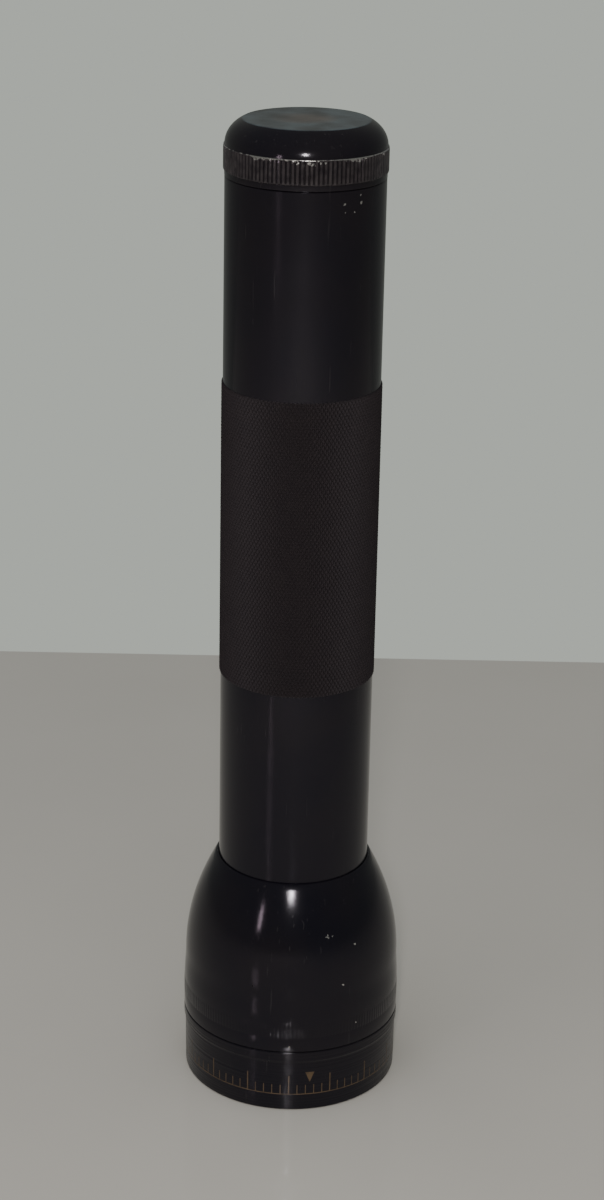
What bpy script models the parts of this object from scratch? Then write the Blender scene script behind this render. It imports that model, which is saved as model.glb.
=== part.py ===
"""A two-cell aluminium flashlight, standing on its face cap with the lens down.

The origin is the middle of the face cap's rim and +Z runs along the barrel to the tail cap.
Sizes below are in millimetres, and MM turns them into Blender's metres.
"""

import math

import bmesh
import bpy
from mathutils import Vector

MM = 0.001
GAP = 0.3  # between pieces that touch

# Driving dimensions: the outside.
LENGTH = 254.0
BARREL_R = 19.45
GRIP_R = 19.84
HEAD_R = 28.05
BEAD_R = 28.45
GROOVE_Z = 17.4
HEAD_TOP_Z = 61.8
TAIL_CAP_Z = 240.7
GRIP_Z = (113.35, 189.75)
BUTTON_Z = 90.0

# The bell of the head narrows as a parabola, from BELL_Z up to a tip above the neck.
BELL_Z = 33.6
BELL_TIP_Z = 64.5
BELL_TIP_R = 18.5

# Inside.
BORE_R = 17.4
BARREL_FRONT_Z = 44.0
HEAD_THREAD_R = 26.4
HEAD_FRONT_Z = 8.5
FACE_THREAD_R = 26.75
TAIL_SKIRT_R = 17.6
TAIL_SKIRT_Z = 228.2
REFLECTOR_FOCUS = 4.6
REFLECTOR_RIM_R = 24.3
REFLECTOR_RIM_Z = 7.0
LAMP_HOLE_R = 6.6
HOUSING_R = 17.1
CELL_R = 16.65
CELL_LENGTH = 61.4
CELL_START_Z = 104.5

# The focusing cam: two ramps on the end of the reflector's collar, a half turn apart.
CAM_R = (8.6, 10.4)
CAM_Z = 46.0
CAM_RISE = 5.0
CAM_RAMP = 150.0
CAM_PHASE = 30.0

SMOOTH_BELOW = math.radians(32)


def clear_scene():
    for obj in list(bpy.data.objects):
        bpy.data.objects.remove(obj, do_unlink=True)


def material(name, colour, roughness, metallic=0.0):
    made = bpy.data.materials.new(name)
    made.use_nodes = True
    shader = made.node_tree.nodes["Principled BSDF"]
    shader.inputs["Base Color"].default_value = (*colour, 1.0)
    shader.inputs["Roughness"].default_value = roughness
    shader.inputs["Metallic"].default_value = metallic
    made.diffuse_color = (*colour, 1.0)
    return made


def finished(bm, name, look):
    """The bmesh as a named object with its own material, shaded smooth but for its edges."""
    bmesh.ops.remove_doubles(bm, verts=bm.verts, dist=1e-7)
    bmesh.ops.recalc_face_normals(bm, faces=bm.faces)
    mesh = bpy.data.meshes.new(name)
    bm.to_mesh(mesh)
    bm.free()
    mesh.shade_smooth()
    mesh.set_sharp_from_angle(angle=SMOOTH_BELOW)
    obj = bpy.data.objects.new(name, mesh)
    bpy.context.scene.collection.objects.link(obj)
    if look:
        mesh.materials.append(material(name, *look))
    return obj


def turned(name, outline, look=None, sides=32, angle=360.0, height=None):
    """An outline of (radius, z) points spun about Z.

    An outline that starts and ends on the axis is left open there; any other is a loop.
    height(turn in degrees, z) may move a point along Z after the spin.
    """
    bm = bmesh.new()
    points = [bm.verts.new((r * MM, 0, z * MM)) for r, z in outline]
    on_axis = outline[0][0] == 0 and outline[-1][0] == 0
    ends = points[1:] if on_axis else points[1:] + points[:1]
    edges = [bm.edges.new(pair) for pair in zip(points, ends)]
    whole = angle == 360.0
    first = [] if whole else [bm.faces.new(points)]
    bmesh.ops.spin(
        bm,
        geom=points + edges + first,
        axis=(0, 0, 1),
        cent=(0, 0, 0),
        dvec=(0, 0, 0),
        angle=math.radians(angle),
        steps=sides,
        use_merge=whole,
    )
    if height:
        for vert in bm.verts:
            turn = math.degrees(math.atan2(vert.co.y, vert.co.x)) % 360
            vert.co.z = height(turn, vert.co.z / MM) * MM
    return finished(bm, name, look)


def arc(centre, radii, start, stop, steps):
    """Points on an elliptical arc, with angles in degrees from +r towards +z."""
    turns = [math.radians(start + (stop - start) * i / steps) for i in range(steps + 1)]
    return [
        (centre[0] + radii[0] * math.cos(t), centre[1] + radii[1] * math.sin(t))
        for t in turns
    ]


def ring(name, r, z, section_r, look, sides=28):
    """A rubber ring of round section."""
    section = arc((r, z), (section_r, section_r), 0, 360, 6)[:-1]
    return turned(name, section, look, sides)


def wire(name, points, radius, look, round_steps=1):
    """A wire through the points, in millimetres."""
    curve = bpy.data.curves.new(name, "CURVE")
    curve.dimensions = "3D"
    curve.bevel_depth = radius * MM
    curve.bevel_resolution = round_steps
    curve.use_fill_caps = True
    spline = curve.splines.new("POLY")
    spline.points.add(len(points) - 1)
    for point, place in zip(spline.points, points):
        point.co = (*(Vector(place) * MM), 1)
    obj = bpy.data.objects.new(name, curve)
    bpy.context.scene.collection.objects.link(obj)
    curve.materials.append(material(name, *look))
    return obj


def coil(name, r, z, wire_r, turns, look, steps=9):
    """A spring whose radius and height run evenly from the first value to the second."""
    count = int(turns * steps)
    points = []
    for i in range(count + 1):
        along = i / count
        angle = math.tau * turns * along
        radius = r[0] + (r[1] - r[0]) * along
        height = z[0] + wire_r + (z[1] - z[0] - 2 * wire_r) * along
        points.append((radius * math.cos(angle), radius * math.sin(angle), height))
    return wire(name, points, wire_r, look)


def box(name, low, high):
    bm = bmesh.new()
    bmesh.ops.create_cube(bm, size=1)
    size = Vector(high) - Vector(low)
    middle = (Vector(high) + Vector(low)) / 2
    for vert in bm.verts:
        vert.co = Vector([vert.co[i] * size[i] + middle[i] for i in range(3)]) * MM
    return finished(bm, name, None)


def aim_at_button(obj):
    """Turns a piece made along Z so that it lies along Y, through the button's centre."""
    obj.rotation_euler = (-math.pi / 2, 0, 0)
    obj.location = (0, 0, BUTTON_Z * MM)
    return obj


def combine(obj, other, operation):
    """Cuts other from obj, or joins it on, with an EXACT Boolean. other stays as a guide."""
    boolean = obj.modifiers.new(other.name, "BOOLEAN")
    boolean.operation = operation
    boolean.solver = "EXACT"
    boolean.object = other
    other.hide_render = True
    other.display_type = "WIRE"


def gathered(name, pieces, above=None):
    """Hangs the pieces of one moving group on an empty at the origin, on the group's axis."""
    handle = bpy.data.objects.new(name, None)
    bpy.context.scene.collection.objects.link(handle)
    handle.parent = above
    for piece in pieces:
        piece.parent = handle
    return handle


ANODISED = ((0.012, 0.011, 0.014), 0.34, 0.6)
BARE_ALUMINIUM = ((0.75, 0.75, 0.76), 0.12, 1.0)
RUBBER = ((0.02, 0.02, 0.02), 0.8)
CLEAR = ((0.9, 0.93, 0.95), 0.05)
STEEL = ((0.55, 0.55, 0.56), 0.3, 1.0)
BRASS = ((0.75, 0.58, 0.28), 0.3, 1.0)
TUNGSTEN = ((0.3, 0.3, 0.32), 0.4, 1.0)
BLACK_PLASTIC = ((0.025, 0.025, 0.027), 0.5)
WHITE_PLASTIC = ((0.8, 0.8, 0.78), 0.5)
CELL_JACKET = ((0.05, 0.12, 0.28), 0.35, 0.3)


def barrel():
    """The tube: smooth, then the raised grip, then smooth, with the button's hole at +Y."""
    top = TAIL_CAP_Z - GAP
    bevel = 0.3
    groove_r = 18.3
    counterbore_r = 17.95
    outline = [
        (BORE_R, BARREL_FRONT_Z),
        (BARREL_R - bevel, BARREL_FRONT_Z),
        (BARREL_R, BARREL_FRONT_Z + bevel),
        (BARREL_R, GRIP_Z[0]),
        (GRIP_R, GRIP_Z[0] + bevel),
        (GRIP_R, GRIP_Z[1] - bevel),
        (BARREL_R, GRIP_Z[1]),
        (BARREL_R, top - bevel),
        (BARREL_R - bevel, top),
        (counterbore_r, top),
        (counterbore_r, TAIL_SKIRT_Z - 2),
        (BORE_R, TAIL_SKIRT_Z - 2),
        (BORE_R, 51.6),
        (groove_r, 51.6),
        (groove_r, 50.0),
        (BORE_R, 50.0),
    ]
    tube = turned("barrel", outline, ANODISED, sides=40)
    hole = aim_at_button(turned("button_hole", [(0, 14), (7.6, 14), (7.6, 22), (0, 22)]))
    combine(tube, hole, "DIFFERENCE")
    return tube


def bell_r(z):
    along = (z - BELL_Z) / (BELL_TIP_Z - BELL_Z)
    return HEAD_R - (HEAD_R - BELL_TIP_R) * along * along


def head():
    """The bell, its male thread for the face cap below, and the neck with its seal groove."""
    bottom = GROOVE_Z + GAP
    steps = 6
    bell = [BELL_Z + (HEAD_TOP_Z - BELL_Z) * i / steps for i in range(steps + 1)]
    bowl_r = 25.1
    neck_r = 19.95
    lip_r = 19.7
    groove_r = 21.1
    outline = [
        (bowl_r, HEAD_FRONT_Z),
        (HEAD_THREAD_R, HEAD_FRONT_Z),
        (HEAD_THREAD_R, bottom),
        (BEAD_R - 0.3, bottom),
        (BEAD_R, bottom + 0.3),
        (BEAD_R, 26.0),
        (HEAD_R, 26.3),
    ]
    outline += [(bell_r(z), z) for z in bell]
    outline += [
        (lip_r, HEAD_TOP_Z),
        (lip_r, 59.5),
        (neck_r, 59.5),
        (neck_r, 57.8),
        (groove_r, 57.8),
        (groove_r, 55.6),
        (neck_r, 55.6),
        (neck_r, 46.5),
        (22.3, 44.0),
        (bowl_r, 33.0),
    ]
    return turned("head", outline, ANODISED, sides=40)


def face_cap():
    """The screwed ring under the head, with a lip that holds the lens."""
    outline = [
        (25.8, 0),
        (27.7, 0),
        (28.0, 0.3),
        (28.1, 14.3),
        (BEAD_R, 14.8),
        (BEAD_R, GROOVE_Z - 0.3),
        (BEAD_R - 0.3, GROOVE_Z),
        (FACE_THREAD_R, GROOVE_Z),
        (FACE_THREAD_R, 2.4),
        (25.0, 2.4),
        (25.0, 0.8),
    ]
    return turned("face_cap", outline, ANODISED, sides=40)


def lens():
    outline = [(0, 4.5), (26.0, 4.5), (26.3, 4.8), (26.3, 6.7), (0, 6.7)]
    return turned("lens", outline, CLEAR, sides=40)


def cam_height(turn, z):
    """Raises the collar's end into two even ramps, each with a steeper way back down."""
    if z < CAM_Z - 0.01:
        return z
    phase = (turn + CAM_PHASE) % 180
    if phase <= CAM_RAMP:
        return CAM_Z + CAM_RISE * phase / CAM_RAMP
    return CAM_Z + CAM_RISE * (180 - phase) / (180 - CAM_RAMP)


def reflector():
    """A parabolic bowl with a flange at its rim and the focusing cam's collar at its back."""
    four_f = 4 * REFLECTOR_FOCUS
    apex = REFLECTOR_RIM_Z + REFLECTOR_RIM_R**2 / four_f
    wall = 2.2
    flange_z = 8.2
    steps = 7

    def parabola(r, behind=0.0):
        return (r, apex + behind - r * r / four_f)

    def radii(first, last):
        return [first + (last - first) * i / steps for i in range(steps + 1)]

    back_r = math.sqrt(four_f * (apex + wall - flange_z))
    outline = [parabola(r) for r in radii(REFLECTOR_RIM_R, LAMP_HOLE_R)]
    outline += [
        (LAMP_HOLE_R, 38.2),
        (CAM_R[0], 38.2),
        (CAM_R[0], CAM_Z),
        (CAM_R[1], CAM_Z),
    ]
    outline += [parabola(r, wall) for r in radii(CAM_R[1], back_r)]
    outline += [(26.3, flange_z), (26.3, REFLECTOR_RIM_Z)]
    return turned("reflector", outline, BARE_ALUMINIUM, sides=36, height=cam_height)


def lamp_glass():
    """A thin bulb, open at its base."""
    outer = arc((0, 34.0), (5.6, 4.5), 0, -90, 4)
    inner = arc((0, 34.0), (4.9, 3.8), -90, 0, 4)
    outline = [(5.6, 40.4)] + outer
    bottom = [(0, 34.0 - 3.8)] + inner[1:] + [(4.9, 40.4)]
    return bulb("lamp_glass", outline, bottom)


def bulb(name, outer, inner):
    """Spins an outer and an inner wall that both meet the axis at the dome."""
    bm = bmesh.new()
    for wall in (outer, inner):
        points = [bm.verts.new((max(r, 0) * MM, 0, z * MM)) for r, z in wall]
        edges = [bm.edges.new(pair) for pair in zip(points, points[1:])]
        if wall is outer:
            rim = points[0]
        else:
            edges.append(bm.edges.new((points[-1], rim)))
        bmesh.ops.spin(
            bm,
            geom=points + edges,
            axis=(0, 0, 1),
            cent=(0, 0, 0),
            dvec=(0, 0, 0),
            angle=math.tau,
            steps=20,
            use_merge=True,
        )
    return finished(bm, name, CLEAR)


def lamp_base(name="lamp_base", shift=0.0):
    """The brass shell with its locating flange and the contact tip behind."""
    outline = [
        (0, 40.85),
        (6.6, 40.85),
        (6.6, 41.65),
        (4.6, 41.65),
        (4.6, 47.3),
        (2.6, 48.4),
        (1.6, 49.2),
        (0, 49.2),
    ]
    return turned(name, [(r, z + shift) for r, z in outline], BRASS, sides=20)


def lamp_filament():
    """Two posts out of the base with the tungsten coil across their ends."""
    post_x = 1.6
    top = 40.55
    focus = 34.5
    points = [(-post_x, 0, top), (-post_x, 0, focus), (-1.0, 0, focus - 0.25), (0, 0, focus - 0.4)]
    points += [(-x, y, z) for x, y, z in reversed(points[:-1])]
    return wire("lamp_filament", points, 0.18, TUNGSTEN, round_steps=0)


def lamp_collar():
    """The nut that holds the lamp's flange to its holder."""
    outline = [
        (5.95, 39.3),
        (7.9, 39.3),
        (8.2, 39.6),
        (8.2, 45.0),
        (7.05, 45.0),
        (7.05, 40.55),
        (5.95, 40.55),
    ]
    return turned("lamp_collar", outline, BLACK_PLASTIC, sides=24)


def lamp_holder():
    """The sliding sleeve, with a cam follower tab on each side."""
    tube = [(5.2, 41.95), (6.7, 41.95), (6.7, 56.0), (5.2, 56.0)]
    holder = turned("lamp_holder", tube, BLACK_PLASTIC, sides=24)
    for side in (1, -1):
        reach = sorted((6.0 * side, 10.2 * side))
        tab = box("follower_tab", (reach[0], -1.6, 47.7), (reach[1], 1.6, 49.8))
        combine(holder, tab, "UNION")
    return holder


def switch_front_housing():
    """The front half of the switch: bored for the lamp holder, its spring and the contact."""
    outline = [
        (7.1, 53.0),
        (14.0, 53.0),
        (14.0, 51.6),
        (HOUSING_R, 51.6),
        (HOUSING_R, 78.0),
        (2.6, 78.0),
        (2.6, 66.0),
        (7.1, 66.0),
    ]
    return turned("switch_front_housing", outline, BLACK_PLASTIC, sides=32)


def switch_rear_housing():
    """The rear half of the switch, with the button's well and the ground screw's bore."""
    outline = [
        (0, 82.0),
        (2.6, 82.0),
        (2.6, 78.3),
        (HOUSING_R, 78.3),
        (HOUSING_R, 101.3),
        (4.2, 101.3),
        (4.2, 97.2),
        (0, 97.2),
    ]
    housing = turned("switch_rear_housing", outline, BLACK_PLASTIC, sides=32)
    well = turned("well", [(0, 2.6), (6.8, 2.6), (6.8, 20), (0, 20)])
    bore = turned("bore", [(0, -20), (2.4, -20), (2.4, 5), (0, 5)], sides=20)
    slot = box("slot", (-2.3, -20, BUTTON_Z - 3), (2.3, -16.2, BUTTON_Z + 3))
    for cutter in (aim_at_button(well), aim_at_button(bore), slot):
        combine(housing, cutter, "DIFFERENCE")
    return housing


def snap_ring():
    """The sprung ring in the barrel's groove, open at one side."""
    outline = [(15.2, 50.3), (18.0, 50.3), (18.0, 51.3), (15.2, 51.3)]
    opened = turned("snap_ring", outline, STEEL, sides=30, angle=325.0)
    opened.rotation_euler = (0, 0, math.radians(90 + 17.5))
    return opened


def switch_boot():
    """The rubber cover in the barrel's hole, hollow above the plunger."""
    outline = [
        (0, 20.5),
        (3.5, 20.35),
        (6.2, 19.7),
        (7.3, 18.9),
        (7.3, 17.45),
        (6.3, 17.45),
        (6.3, 18.2),
        (5.8, 18.9),
        (0, 19.3),
    ]
    return aim_at_button(turned("switch_boot", outline, RUBBER, sides=28))


def switch_pieces():
    """What lies under the boot, from the outside in."""
    plunger = turned(
        "switch_plunger",
        [(1.9, 12.4), (6.3, 12.4), (6.3, 13.6), (5.4, 13.6), (5.4, 18.0), (5.0, 18.4), (1.9, 18.4)],
        WHITE_PLASTIC,
        sides=24,
    )
    retainer = turned(
        "boot_retainer",
        [(5.75, 14.0), (6.5, 14.0), (6.5, 16.3), (5.75, 16.3)],
        WHITE_PLASTIC,
        sides=24,
    )
    spring = coil("switch_spring", (4.6, 4.6), (6.4, 12.1), 0.3, 3.5, STEEL)
    rotor = turned(
        "switch_rotor",
        [(2.9, 2.9), (5.9, 2.9), (5.9, 5.0), (5.3, 6.1), (2.9, 6.1)],
        WHITE_PLASTIC,
        sides=24,
    )
    for x in (4.4, -4.4):
        notch = box("notch", (x - 0.5, -7, 5.2), (x + 0.5, 7, 8))
        combine(rotor, notch, "DIFFERENCE")
        notch.parent = rotor
    return [aim_at_button(piece) for piece in (plunger, retainer, spring, rotor)]


def ground_parts():
    """The grub screw opposite the button, and the strip that it presses on the barrel."""
    outline = [(0, -15.6), (2.0, -15.6), (2.0, -7.2), (1.0, -7.2), (1.0, -9.4), (0, -9.4)]
    screw = aim_at_button(turned("ground_set_screw", outline, STEEL, sides=16))
    strip = box("ground_contact", (-2.0, -17.0, BUTTON_Z - 2.7), (2.0, -16.5, BUTTON_Z + 2.7))
    strip.data.materials.append(material("ground_contact", *BRASS))
    return [screw, strip]


def contacts():
    lamp = [(0, 66.3), (2.2, 66.3), (2.2, 67.5), (1.6, 67.5), (1.6, 81.7), (0, 81.7)]
    battery = [(0, 97.5), (3.8, 97.5), (3.8, 101.6), (6.0, 101.6), (6.0, 102.5), (2.4, 104.2)]
    return [
        turned("lamp_contact", lamp, BRASS, sides=16),
        turned("battery_contact", battery + [(0, 104.2)], BRASS, sides=20),
    ]


def cell(number):
    """One cell and its positive cap, which faces the lamp."""
    start = CELL_START_Z + (number - 1) * (CELL_LENGTH + GAP)
    body_z = start + 1.5
    end = start + CELL_LENGTH
    body = [
        (0, body_z),
        (13.0, body_z),
        (13.4, body_z + 0.5),
        (15.9, body_z + 0.5),
        (CELL_R, body_z + 1.2),
        (CELL_R, end - 1.0),
        (CELL_R - 0.8, end - 0.3),
        (14.0, end - 0.3),
        (13.6, end),
        (0, end),
    ]
    cap = [(0, start), (4.3, start), (4.75, start + 0.4), (4.75, body_z - GAP), (0, body_z - GAP)]
    return [
        turned(f"cell_{number}", body, CELL_JACKET, sides=28),
        turned(f"cell_{number}_terminal", cap, STEEL, sides=20),
    ]


def tail_cap():
    """The screwed end cap: skirt with its thread, ribbed band, rounded shoulder, flat end."""
    rib_r = 19.8
    rib_z = (241.9, 248.0)
    edge_r = 15.15
    shoulder_r = BARREL_R + 0.05
    shoulder_middle_r = 11.2
    shoulder_rise = 6.82
    edge_angle = math.degrees(math.asin((LENGTH - rib_z[1]) / shoulder_rise))
    radii = (shoulder_r - shoulder_middle_r, shoulder_rise)
    shoulder = arc((shoulder_middle_r, rib_z[1]), radii, edge_angle, 0, 6)
    outline = [(0, LENGTH), (edge_r, LENGTH)] + shoulder[1:]
    outline += [
        (rib_r, rib_z[1] - 0.35),
        (rib_r, rib_z[0] + 0.2),
        (shoulder_r, rib_z[0]),
        (shoulder_r, TAIL_CAP_Z + 0.4),
        (BARREL_R - 0.35, TAIL_CAP_Z),
        (TAIL_SKIRT_R, TAIL_CAP_Z),
        (TAIL_SKIRT_R, 239.8),
        (16.5, 239.8),
        (16.5, 237.4),
        (TAIL_SKIRT_R, 237.4),
        (TAIL_SKIRT_R, TAIL_SKIRT_Z + 0.4),
        (TAIL_SKIRT_R - 0.4, TAIL_SKIRT_Z),
        (15.4, TAIL_SKIRT_Z),
        (15.4, 251.3),
        (0, 251.3),
    ]
    return turned("tail_cap", outline, ANODISED, sides=40)


def spare_lamp():
    """A spare lamp in a plastic cup, inside the tail spring."""
    shift = 200.8
    dome_z = 36.0
    glass_r = 4.6
    cup = [(5.2, 242.8), (6.4, 242.8), (6.4, 251.0), (0, 251.0), (0, 250.3), (5.2, 250.3)]
    base = lamp_base("spare_lamp_base", shift)
    dome = arc((0, dome_z), (glass_r, 4.5), -90, 0, 3)[1:]
    outline = [(0, dome_z - 4.5)] + dome + [(glass_r, 40.5), (0, 40.5)]
    glass = turned("spare_lamp_glass", [(r, z + shift) for r, z in outline], CLEAR, sides=16)
    holder = turned("spare_lamp_holder", cup, WHITE_PLASTIC, sides=20)
    return [base, glass, holder]


def main():
    clear_scene()
    barrel()
    switch_front_housing()
    switch_rear_housing()
    snap_ring()
    switch_boot()
    plunger, _, _, rotor = switch_pieces()
    ground_parts()
    contacts()
    cell(1)
    cell(2)
    coil("lamp_spring", (3.8, 3.8), (49.5, 65.8), 0.35, 5, STEEL)
    coil("tail_spring", (9.0, 13.5), (227.9, 251.0), 0.6, 5, STEEL, steps=10)

    focus = gathered("lamp_focus_group", [lamp_holder(), lamp_collar(), lamp_base()])
    gathered("lamp_group", [lamp_glass(), lamp_filament()], focus)
    head_slide = gathered("head_slide_group", [ring("head_o_ring", 20.27, 56.7, 0.55, RUBBER)])
    head_turn = gathered("head_turn_group", [head(), reflector()], head_slide)
    seal = ring("face_cap_seal", 25.85, 3.45, 0.72, RUBBER)
    lens_slide = gathered("lens_slide_group", [lens(), seal], head_turn)
    gathered("face_cap_turn_group", [face_cap()], lens_slide)
    tail_slide = gathered(
        "tail_seal_slide_group", [ring("tail_cap_o_ring", 17.2, 238.6, 0.55, RUBBER)]
    )
    gathered("tail_cap_turn_group", [tail_cap()] + spare_lamp(), tail_slide)
    gathered("button_group", [plunger])
    gathered("rotor_group", [rotor])


main()
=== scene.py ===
"""Looks of a two-cell aluminium flashlight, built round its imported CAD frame.

It stands lens down on a pale table. The flashlight's own sizes are in millimetres, and MM turns
them into metres. Turned pieces are lathed from rows of (radius, z). Ribs, knurl and threads are
cuts into those rows that change from column to column.
"""

import math

import bpy
import numpy as np
from mathutils import Matrix, Vector


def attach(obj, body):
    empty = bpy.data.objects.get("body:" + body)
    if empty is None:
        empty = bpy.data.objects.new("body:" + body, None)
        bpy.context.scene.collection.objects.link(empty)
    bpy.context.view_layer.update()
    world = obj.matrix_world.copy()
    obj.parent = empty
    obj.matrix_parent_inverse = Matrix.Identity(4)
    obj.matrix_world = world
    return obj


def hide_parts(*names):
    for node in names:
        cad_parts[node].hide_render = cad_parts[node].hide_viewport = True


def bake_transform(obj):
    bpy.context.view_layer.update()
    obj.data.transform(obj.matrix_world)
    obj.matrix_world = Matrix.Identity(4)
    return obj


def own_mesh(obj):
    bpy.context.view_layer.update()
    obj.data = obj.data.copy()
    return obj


MM = 0.001
TAU = math.tau

# The camera stands straight in front of the flashlight and looks down on it.
CAMERA_PLACE = (0.0, -0.6105, 0.3662)
CAMERA_PITCH = 20.98
CAMERA_YAW = 0.099
CAMERA_ROLL = 1.125
LENS_MM = 77.46
SENSOR_MM = 36.0
TABLE_EDGE_Y = 0.285

# How strongly the pale room lights the object, and how strongly it shows behind it.
ROOM_LIGHT = 0.19
WALL_LIGHT = 0.54

# Where every lamp points.
LIGHT_TARGET = (0, 0, 0.12)

# The flashlight's main sizes and places.
BARREL_R = 19.45
GRIP_R = 19.84
GRIP_Z = (113.35, 189.75)
DIAMONDS = 120
DIAMOND_ROWS = 44
BUTTON_Z = 90.0
FACE_CAP_R = 28.1
FACE_CAP_PITCH = 1.5
BELL_FOOT = 33.6
BARREL_PITCH = 1.8  # the thread at both of the barrel's ends
TAIL_CAP_R = 19.8
TAIL_TOP = 254.0
TAIL_RIBS = (241.9, 248.0)
CELL_START = 104.5
CELL_PITCH = 61.7
FRONT_TURN = 0.75  # the side that faces the camera, as a share of a turn from +X

# How finely corners and threads are drawn, and the angle from which an edge looks sharp.
FILLET_STEPS = 4
THREAD_STEPS = 7
SHARP_ANGLE = 32.0


# ---------------------------------------------------------------- shapes


def row(r, z, cut=None, wear=0.0):
    """One ring of a turned piece. cut(turn, z) is the depth cut into it at each column."""
    return (r, z, cut, wear)


def smooth(share):
    """An S-shaped step from 0 to 1."""
    share = min(1.0, max(0.0, share))
    return share * share * (3 - 2 * share)


def plain(*points):
    """Rows through (r, z) points. A third number rounds that corner, a fourth wears it."""
    rows = []
    for i, point in enumerate(points):
        wear = point[3] if len(point) > 3 else 0.0
        fillet = point[2] if len(point) > 2 else 0.0
        if not fillet or i in (0, len(points) - 1):
            rows.append(row(point[0], point[1], None, wear))
            continue
        here = Vector(point[:2])
        back = Vector(points[i - 1][:2]) - here
        ahead = Vector(points[i + 1][:2]) - here
        half = back.angle(ahead) / 2
        reach = min(fillet / math.tan(half), 0.48 * back.length, 0.48 * ahead.length)
        middle = (back.normalized() + ahead.normalized()).normalized()
        centre = here + middle * (reach / math.cos(half))
        start = here + back.normalized() * reach - centre
        stop = here + ahead.normalized() * reach - centre
        for k in range(FILLET_STEPS + 1):
            place = centre + start.slerp(stop, k / FILLET_STEPS).normalized() * start.length
            rows.append(row(place.x, place.y, None, wear))
    return rows


def arc(centre, radii, start, stop, steps):
    """Rows on an elliptical arc, with angles in degrees from +r towards +z."""
    turns = [math.radians(start + (stop - start) * i / steps) for i in range(steps + 1)]
    return [
        row(centre[0] + radii[0] * math.cos(t), centre[1] + radii[1] * math.sin(t)) for t in turns
    ]


def ribbed(r, z_from, z_to, count, depth, step, lead, wear=None):
    """A band of straight ribs, with a short lead at each end."""

    def cut(turn, z):
        share = (turn * count + 1e-6) % 1.0
        return depth * np.clip((0.26 - abs(share - 0.75)) / 0.1, 0, 1)

    way = 1 if z_to > z_from else -1
    inner = np.linspace(z_from + way * lead, z_to - way * lead, max(2, int(abs(z_to - z_from) / step)))
    wear = wear or (lambda z: 0.0)
    rows = [row(r - 0.05, z_from, None, wear(z_from))]
    rows += [row(r, z, cut, wear(z)) for z in inner]
    return rows + [row(r - 0.05, z_to, None, wear(z_to))]


def knurled(r, z_from, z_to, diamonds, half_rows, depth):
    """Two families of slanting grooves that leave pyramids, one row for each half diamond."""

    def cut_of(k):
        return lambda turn, z: depth * ((np.round(turn * 2 * diamonds) + k) % 2)

    heights = np.linspace(z_from, z_to, half_rows + 1)
    return [row(r, z, cut_of(k)) for k, z in enumerate(heights)]


def threaded(r, z_from, z_to, pitch, depth):
    """A right-hand thread cut into radius r. A negative depth cuts a nut's thread."""

    def cut(turn, z):
        share = (z / pitch - turn) % 1.0
        fade = min(1.0, abs(z - z_from) / pitch, abs(z - z_to) / pitch)
        return depth * fade * np.clip(1.35 * abs(2 * share - 1) - 0.18, 0, 1)

    count = max(3, int(abs(z_to - z_from) / pitch * THREAD_STEPS))
    return [row(r, z, cut) for z in np.linspace(z_from, z_to, count + 1)]


def store(mesh, name, values):
    """Keeps one number for each of the mesh's points, for its material to read."""
    attribute = mesh.attributes.new(name, "FLOAT", "POINT")
    attribute.data.foreach_set("value", np.ascontiguousarray(values, np.float32).ravel())


def named_mesh(name, points, faces, sharp=SHARP_ANGLE):
    mesh = bpy.data.meshes.new(name)
    mesh.from_pydata([tuple(p) for p in points], [], faces)
    mesh.validate()
    mesh.update()
    mesh.polygons.foreach_set("use_smooth", [True] * len(mesh.polygons))
    mesh.set_sharp_from_angle(angle=math.radians(sharp))
    obj = bpy.data.objects.new(name, mesh)
    bpy.context.scene.collection.objects.link(obj)
    return obj


def lathe(name, rows, columns, lift=None):
    """A turned piece. Rows that start and end on the axis close there; others make a ring.

    lift(turn, z) may raise a point. The mesh keeps how deep each point is cut, and its wear.
    """
    area = sum(a[0] * b[1] - b[0] * a[1] for a, b in zip(rows, rows[1:] + rows[:1]))
    if area < 0:
        rows = rows[::-1]
    solid = rows[0][0] == 0
    body = rows[1:-1] if solid else rows
    turn = np.arange(columns) / columns
    nothing = np.zeros(columns)
    cuts = np.array([cut(turn, z) if cut else nothing for _, z, cut, _ in body])
    radius = np.array([r for r, _, _, _ in body])[:, None] - cuts
    height = np.array([z for _, z, _, _ in body])[:, None] + np.zeros(columns)
    if lift:
        height = lift(turn[None] + np.zeros_like(height), height)
    points = np.stack(
        [radius * np.cos(TAU * turn), radius * np.sin(TAU * turn), height], -1
    ).reshape(-1, 3)
    count = len(body)
    i = np.arange(count - 1 if solid else count)[:, None]
    j = np.arange(columns)[None]
    across, up = (j + 1) % columns, (i + 1) % count
    corners = np.stack(
        [i * columns + j, i * columns + across, up * columns + across, up * columns + j], -1
    ).reshape(-1, 4)
    # A face whose corners don't lie level is split along its lower diagonal, so grooves run on.
    around = radius.ravel()[corners]
    twist = around[:, 0] + around[:, 2] - around[:, 1] - around[:, 3]
    faces = corners[abs(twist) <= 0.02].tolist()
    for keep, order in ((twist < -0.02, (0, 1, 2, 0, 2, 3)), (twist > 0.02, (0, 1, 3, 1, 2, 3))):
        faces += corners[keep][:, order].reshape(-1, 3).tolist()
    depth, wear = cuts.ravel(), np.repeat([w for _, _, _, w in body], columns)
    if solid:
        low, high = len(points), len(points) + 1
        points = np.vstack([points, [(0, 0, rows[0][1]), (0, 0, rows[-1][1])]])
        last = (count - 1) * columns
        faces += [(low, (k + 1) % columns, k) for k in range(columns)]
        faces += [(high, last + k, last + (k + 1) % columns) for k in range(columns)]
        depth, wear = np.append(depth, (0, 0)), np.append(wear, (0, 0))
    obj = named_mesh(name, points * MM, faces)
    most = abs(depth).max() or 1.0
    store(obj.data, "cut", abs(depth) / most)
    store(obj.data, "wear", wear)
    return obj


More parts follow.
